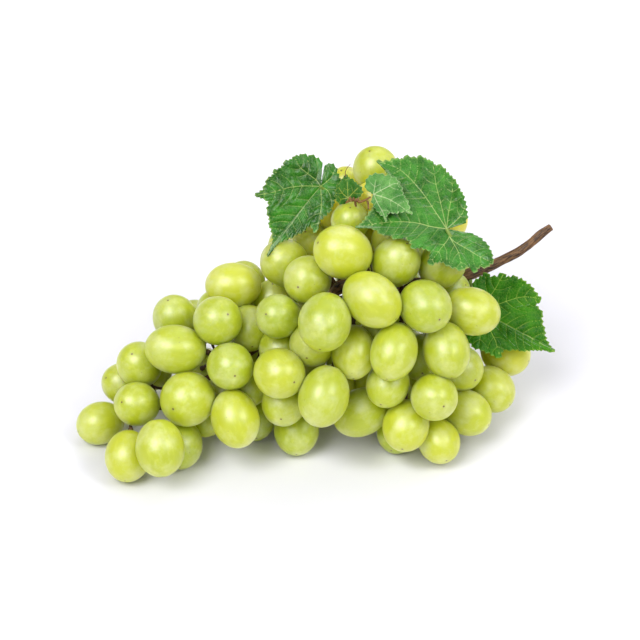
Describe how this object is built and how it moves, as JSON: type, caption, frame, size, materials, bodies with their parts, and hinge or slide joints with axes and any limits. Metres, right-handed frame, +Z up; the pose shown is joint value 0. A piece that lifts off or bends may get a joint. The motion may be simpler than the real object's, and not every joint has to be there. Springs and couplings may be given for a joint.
{
  "type": "bunch of grapes",
  "caption": "Cone-shaped bunch of oval white table grapes lying on its side, with a cut woody stalk, lobed vine leaves and a small side shoot.",
  "frame": {"origin": "on the surface, under the middle of the object's bounding box", "axes": "+X along the bunch from its tip towards the cut end of the stalk, +Y away from the viewer of the picture, +Z up"},
  "size_m": [0.2125, 0.1341, 0.1167],
  "materials": {
    "grape_skin": "translucent yellow-green skin with a thin waxy bloom",
    "woody_stalk": "matt brown bark, greener on the pedicels",
    "shoot_bark": "satin red-brown",
    "vine_leaf": "satin green blade with paler veins",
    "young_leaf": "dark green, crinkled, with yellow veins",
    "downy_leaf": "pale downy green"
  },
  "bodies": {
    "root": {"berries": "grape_skin", "stalk": "woody_stalk", "side_shoot": "shoot_bark", "leaf_left": "vine_leaf", "leaf_centre": "vine_leaf", "leaf_right": "vine_leaf", "young_leaf_small": "young_leaf", "young_leaf_pale": "downy_leaf"}
  },
  "joints": []
}
